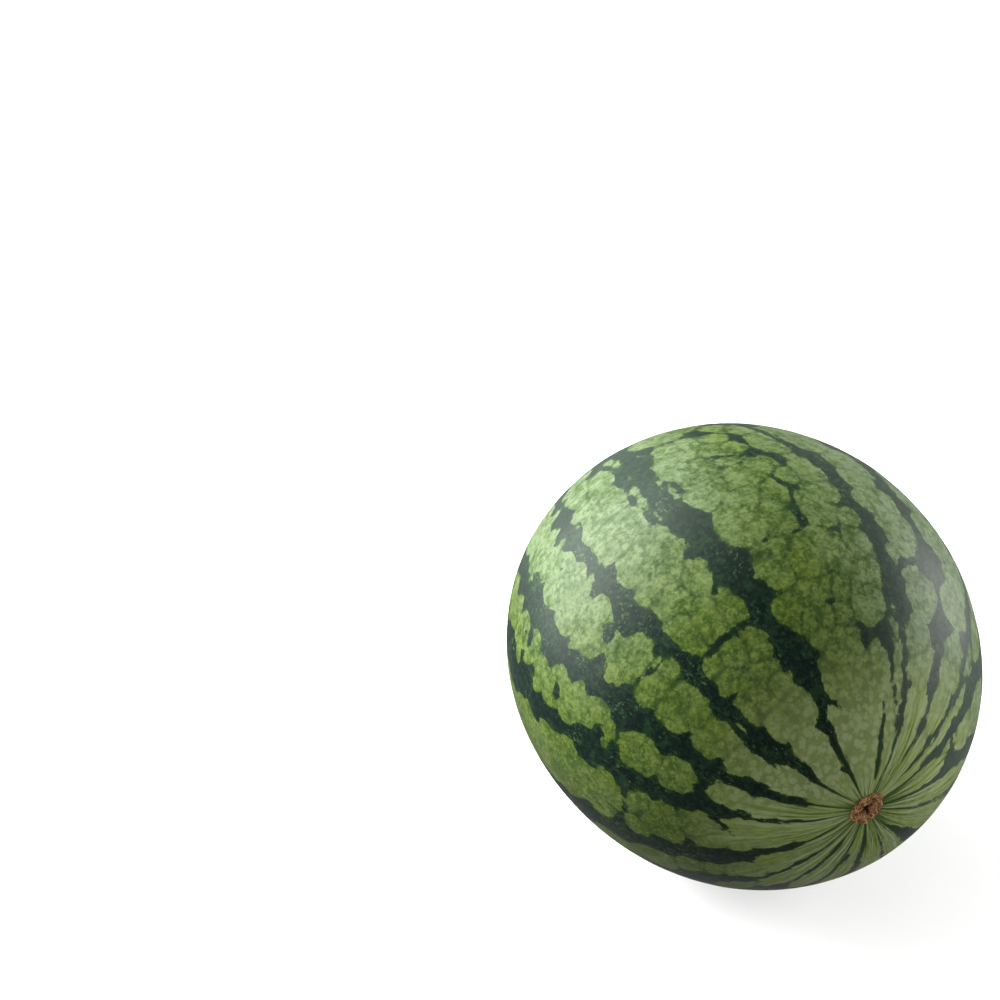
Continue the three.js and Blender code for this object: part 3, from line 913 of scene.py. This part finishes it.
DARK_DEEP = srgb(14, 33, 30)
DARK_MOTTLE = srgb(46, 78, 48)
DARK_FLECK = srgb(104, 136, 78)
DARK_AT_SCAR = srgb(40, 72, 34)
EDGE_GREEN = srgb(40, 68, 30)
LIGHT_YELLOW = srgb(118, 140, 50)
# The darker olive of the underside: partly its yellowish ground spot, and partly painted shade.
OLIVE_GROUND_SPOT_AND_SHADE = srgb(84, 96, 26)
LIGHT_SAGE = srgb(138, 162, 98)
LIGHT_PALE = srgb(192, 208, 154)
LIGHT_STREAK = srgb(150, 172, 56)
LIGHT_SHADE = srgb(66, 96, 38)
LIGHT_GRAIN = srgb(152, 172, 92)
RAY_GREEN = srgb(48, 84, 34)
# The pale colour of the painted sheen: a reflection mixed into the base colour.
PAINTED_SHEEN = srgb(184, 205, 184)
SPECK_BROWN = srgb(120, 66, 34)
SPECK_PALE = srgb(190, 196, 150)

LOBE = 12.0  # millimetres across, and the smaller scallops on its edge
SCALLOP = 5.5
VEIN_CELL = 8.0
NET_CELL = 3.4
SPECKS = [  # how far apart in mm, how large in cells, the share of cells without one, the colour
    (13, 0.05, 0.86, SPECK_BROWN),
    (5, 0.05, 0.72, SPECK_PALE),
]


class Rind(Graph):
    """The rind's material, built from what the mesh says of each place."""

    def __init__(self):
        super().__init__("waxy_rind")
        self.place = self.attribute("pattern", "Vector")
        self.in_space = self.node("ShaderNodeTexCoord", {}).outputs["Object"]
        self.stripe = self.attribute("stripe")
        self.planned = self.attribute("planned")
        self.spread = self.attribute("spread")
        # The share of painted sheen, a reflection painted into the colour.
        self.painted_sheen = self.attribute("painted_sheen")
        self.low = self.attribute("low")
        self.combed = self.attribute("combed")
        self.grain = self.noise(self.in_space, 1.6, 3.0, 0.7)
        coarse = self.times(self.centred_noise(self.place, 3.0, 2.0, 0.5), 2.2)
        fine = self.times(self.centred_noise(self.place, 1.0, 2.0, 0.6), 1.5)
        self.fuzz = self.add(coarse, fine)


def scalloped_edge(g):
    """Millimetres from the stripes' scalloped edge, below zero in the dark."""
    # The rounded lobes are unrolled flat. The flat layout has a seam, so a second one, with
    # its seam on the other side, takes over near the first one's.
    parts = g.node("ShaderNodeSeparateXYZ", {0: g.shaken(g.place, 13, 8, 1.0)}).outputs
    across_a = g.maths("ARCTAN2", parts[0], parts[1])
    across_b = g.maths("ARCTAN2", parts[0], g.times(parts[1], -1.0))
    near_seam = g.step(parts[1], -0.90 * MEAN_RADIUS * MM, -0.975 * MEAN_RADIUS * MM)

    def flat_cells(across, size):
        x = g.times(across, MEAN_RADIUS * MM)
        flat = g.node("ShaderNodeCombineXYZ", {0: x, 1: parts[2]}).outputs[0]
        return g.cells(flat, size, "F1", "2D")

    def bulges(size):
        cells = g.mix_numbers(near_seam, flat_cells(across_a, size), flat_cells(across_b, size))
        return g.maths("SUBTRACT", 0.44 * size, g.times(cells, size))

    shrink = g.step(g.spread, 0.12, 0.6, 0.1, 1.0)
    free = g.step(g.planned, 0.0, 1.0, 0.85, 0.10)
    bulge = g.add(g.times(bulges(LOBE), free), g.times(bulges(SCALLOP), 0.34))
    return g.add(g.stripe, g.times(g.add(bulge, g.fuzz), shrink))


def dark_veins(g):
    """How dark each place in the light rind is from veins, seams between lobes and smudges."""
    cells = g.cells(g.shaken(g.place, 5.0, 6), VEIN_CELL, "DISTANCE_TO_EDGE")
    vein_parts = g.step(g.noise(g.place, 10), 0.46, 0.66)
    vein = g.times(g.step(g.times(cells, VEIN_CELL), 0.0, 2.2, 0.42, 0.0), vein_parts)
    seam = g.add(g.attribute("seam"), g.times(g.fuzz, 1.2))
    seam_line = g.step(seam, 0.0, 2.8, 0.95, 0.0)
    reach = g.step(g.stripe, 1.0, 18.0, 1.0, 0.45)
    patches = g.step(g.noise(g.place, 11), 0.30, 0.50, 0.15, 1.0)
    seams = g.times(g.times(seam_line, g.planned), g.times(reach, patches))
    # The veins and seams fade under the painted sheen.
    hidden_by_painted_sheen = g.step(g.painted_sheen, 0.2, 1.0, 1.0, 0.5)
    lines = g.times(g.maths("MAXIMUM", seams, vein), hidden_by_painted_sheen)
    cloud = g.step(g.noise(g.place, 1.8, 3.0, 0.6), 0.36, 0.60)
    return g.maths("MAXIMUM", lines, g.times(g.attribute("smudge"), cloud))


def pale_cell_net(g):
    """0 in rounded pale cells and 1 in the net between them, drawn out where it is combed."""
    def netted(at):
        return g.step(g.cells(g.shaken(at, 2.4, 4, 2.0, 0.6), NET_CELL), 0.26, 0.72)

    drawn_out = netted(g.vector("MULTIPLY", g.place, (1, 1, 0.5)))
    return g.mix_numbers(g.combed, netted(g.in_space), drawn_out)


def light_rind(g, net):
    """Yellow-green and sage clouds, with soft darker mottles, a net, veins, a pale grain and
    painted sheen.
    """
    painted_sheen = g.painted_sheen
    sage = g.step(g.noise(g.place, 18, 3.0, 0.6), 0.36, 0.66, 0.0, 0.5)
    # The underside turns a darker olive: partly its yellowish ground spot, and partly painted
    # shade.
    yellow = g.mix(g.low, LIGHT_YELLOW, OLIVE_GROUND_SPOT_AND_SHADE)
    # Painted sheen: the rind is more sage and paler at the right and the upper left, and its net
    # and mottles fade there.
    light = g.mix(g.add(sage, g.times(painted_sheen, 0.6)), yellow, LIGHT_SAGE)
    light = g.mix(g.times(painted_sheen, 0.40), light, PAINTED_SHEEN)
    broad = g.step(g.noise(g.place, 9), 0.45, 0.66, 0.0, 0.35)
    light = g.mix(broad, light, LIGHT_SHADE)
    net_parts = g.step(g.noise(g.place, 8), 0.38, 0.60, 0.2, 0.85)
    net_share = g.times(g.times(net, net_parts), g.step(painted_sheen, 0.0, 1.0, 1.0, 0.7))
    light = g.mix(net_share, light, LIGHT_SHADE)
    mottle = g.step(g.noise(g.in_space, 5.0, 3.0, 0.6), 0.52, 0.66, 0.0, 0.7)
    mottle = g.times(mottle, g.step(painted_sheen, 0.0, 1.0, 1.0, 0.55))
    light = g.mix(mottle, light, LIGHT_SHADE)
    light = g.mix(g.step(g.grain, 0.50, 0.70, 0.0, 0.6), light, LIGHT_GRAIN)
    light = g.mix(g.step(g.grain, 0.52, 0.34, 0.0, 0.5), light, LIGHT_SHADE)
    return g.mix(g.times(dark_veins(g), 0.80), light, EDGE_GREEN)


def streaked(g, light, net):
    """The light rind near the ends: paler, streaked, and with the fine dark lines."""
    near_ends = g.step(g.spread, 0.75, 0.35)
    # Paler beside the scar, but only half as much on the underside: painted shade that keeps the
    # underside darker.
    beside_scar = g.times(near_ends, g.step(g.low, 0.3, 0.9, 1.0, 0.5))
    light = g.mix(g.times(beside_scar, 0.45), light, LIGHT_STREAK)
    pale_parts = g.times(beside_scar, g.step(net, 0.0, 1.0, 0.78, 0.36))
    light = g.mix(pale_parts, light, LIGHT_PALE)
    drawn_out = g.vector("MULTIPLY", g.place, (1, 1, 0.10))
    streaks = g.noise(drawn_out, 4.0, 3.0, 0.6)
    for low, high, most, tint in (
        (0.46, 0.38, 0.7, LIGHT_PALE),
        (0.50, 0.58, 0.85, LIGHT_STREAK),
        (0.58, 0.66, 0.75, RAY_GREEN),
    ):
        streak = g.times(g.step(streaks, low, high, 0.0, most), g.combed)
        light = g.mix(streak, light, tint)
    ray = g.add(g.attribute("ray"), g.times(g.fuzz, 0.3))
    return g.mix(g.times(g.step(ray, 0.35, -0.3), 0.85), light, RAY_GREEN)


def dark_stripes(g, edge):
    """Blue-black, mottled with green, and greener at the edges and near the scar, with a little
    painted sheen.
    """
    fine = g.noise(g.place, 2.0, 5.0, 0.75)
    mottled_parts = g.step(g.noise(g.place, 15), 0.34, 0.60, 0.4, 1.0)
    soft = g.step(g.noise(g.in_space, 4.0, 4.0, 0.65), 0.48, 0.62, 0.0, 0.6)
    mottles = g.times(g.step(fine, 0.46, 0.68), mottled_parts)
    dark = g.mix(mottles, DARK_DEEP, DARK_MOTTLE)
    dark = g.mix(g.times(soft, mottled_parts), dark, DARK_MOTTLE)
    fleck_parts = g.step(g.noise(g.place, 19), 0.50, 0.62)
    flecks = g.times(g.step(fine, 0.54, 0.68, 0.0, 0.85), fleck_parts)
    dark = g.mix(flecks, dark, DARK_FLECK)
    dark = g.mix(g.step(edge, -1.7, -0.2, 0.0, 0.65), dark, EDGE_GREEN)
    dark = g.mix(g.step(g.spread, 0.42, 0.12, 0.0, 0.8), dark, DARK_AT_SCAR)
    # A little painted sheen, a pale reflection, at the right and the upper left.
    return g.mix(g.times(g.painted_sheen, 0.12), dark, PAINTED_SHEEN)


def specked(g, colour):
    """Small corky specks, and paler dots."""
    for size, radius, share, tint in SPECKS:
        near = g.cells(g.in_space, size)
        of_each = g.cells(g.in_space, size, output="Color")
        chosen = g.node("ShaderNodeSeparateColor", {0: of_each}).outputs[0]
        has_one = g.maths("GREATER_THAN", chosen, share)
        dot = g.times(g.step(near, radius, radius * 0.5), has_one)
        colour = g.mix(g.times(dot, 0.7), colour, tint)
    return colour


def rind_material():
    g = Rind()
    edge = scalloped_edge(g)
    net = pale_cell_net(g)
    light = streaked(g, light_rind(g, net), net)
    colour = g.mix(g.step(edge, -0.45, 0.45), dark_stripes(g, edge), light)
    swells = g.bump(g.noise(g.in_space, 6.0), 0.20)
    g.set_surface({
        "Base Color": specked(g, colour),
        "Roughness": g.step(g.grain, 0.3, 0.7, 0.35, 0.45),
        "IOR": 1.42,
        "Specular IOR Level": 0.17,
        "Normal": g.bump(g.noise(g.in_space, 0.9, 3.0, 0.6), 0.035, swells),
    })
    return g.material


# ---- The camera, the floor and the light ----

FLOOR_SIDE = 12.0
STUDIO_LIGHT = 0.30
BACKDROP_LIGHT = 0.83
FLOOR_LIGHT = 2.3
FLOOR_LIGHT_SPREAD = 40.0
SOFT_BOXES = [  # the name, azimuth, elevation, distance, width and height in metres, and watts
    ("key", -139, 31, 1.5, 1.3, 1.3, 38),
    ("right", 88, 5, 1.4, 1.2, 0.9, 18),
    ("left", -122, 3, 1.4, 1.0, 0.6, 11),
]


def direction(azimuth, elevation):
    """From the fruit towards a camera or a lamp at this azimuth and elevation, in degrees."""
    turn, rise = math.radians(azimuth), math.radians(elevation)
    level = math.cos(rise)
    return Vector((level * math.sin(turn), -level * math.cos(turn), math.sin(rise)))


def make_camera():
    data = bpy.data.cameras.new("camera")
    data.lens = LENS
    data.clip_end = 50
    camera = add_object("camera", data)
    camera.location = FRUIT_MIDDLE + direction(CAMERA_AZIMUTH, CAMERA_ELEVATION) * CAMERA_DISTANCE
    camera.rotation_euler = (math.radians(90 - AIM_ELEVATION), 0, math.radians(AIM_AZIMUTH))
    bpy.context.scene.camera = camera


def make_floor():
    half = FLOOR_SIDE / 2
    corners = [(-half, -half, 0), (half, -half, 0), (half, half, 0), (-half, half, 0)]
    mesh = bpy.data.meshes.new("floor")
    mesh.from_pydata(corners, [], [(0, 1, 2, 3)])
    floor = add_object("floor", mesh)
    g = Graph("floor")
    g.set_surface({"Base Color": (0.8, 0.8, 0.8, 1), "Roughness": 0.9})
    mesh.materials.append(g.material)
    # The floor is lit white for the picture, and the studio's even light takes its place on the
    # fruit's underside.
    floor.visible_glossy = False
    floor.visible_diffuse = False
    return floor


def soft_box(name, azimuth, elevation, distance, width, height, power):
    data = bpy.data.lights.new(name, "AREA")
    data.shape = "RECTANGLE"
    data.size = width
    data.size_y = height
    data.energy = power
    lamp = add_object(name, data)
    towards = direction(azimuth, elevation)
    lamp.location = FRUIT_MIDDLE + towards * distance
    lamp.rotation_euler = towards.to_track_quat("Z", "Y").to_euler()


def make_world():
    """The camera sees the pale backdrop, and the fruit is lit by the dimmer, even studio."""
    world = bpy.data.worlds.new("studio")
    world.use_nodes = True
    tree = world.node_tree
    around = tree.nodes["Background"]
    backdrop = tree.nodes.new("ShaderNodeBackground")
    for node, strength in ((around, STUDIO_LIGHT), (backdrop, BACKDROP_LIGHT)):
        node.inputs["Color"].default_value = (1, 1, 1, 1)
        node.inputs["Strength"].default_value = strength
    either = tree.nodes.new("ShaderNodeMixShader")
    rays = tree.nodes.new("ShaderNodeLightPath")
    tree.links.new(rays.outputs["Is Camera Ray"], either.inputs[0])
    tree.links.new(around.outputs[0], either.inputs[1])
    tree.links.new(backdrop.outputs[0], either.inputs[2])
    tree.links.new(either.outputs[0], tree.nodes["World Output"].inputs["Surface"])
    bpy.context.scene.world = world


def light_floor(floor):
    """A lamp for the floor alone: the fruit is neither lit by it nor casts a shadow in it."""
    data = bpy.data.lights.new("floor_light", "SUN")
    data.energy = FLOOR_LIGHT
    data.angle = math.radians(FLOOR_LIGHT_SPREAD)
    lamp = add_object("floor_light", data)
    lit = bpy.data.collections.new("floor_only")
    lit.objects.link(floor)
    lamp.light_linking.receiver_collection = lit
    lamp.light_linking.blocker_collection = lit


def place_piece(piece, material, node):
    piece.data.materials.append(material)
    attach(piece, "root")
    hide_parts(node)


make_camera()
make_world()
light_floor(make_floor())
for soft_box_settings in SOFT_BOXES:
    soft_box(*soft_box_settings)
bpy.context.scene.view_settings.view_transform = "Standard"

place_piece(make_fruit(), rind_material(), "fruit")
place_piece(make_blossom_scar(), scar_material(), "fruit")
place_piece(make_stalk(), stalk_material(), "dry_stalk")
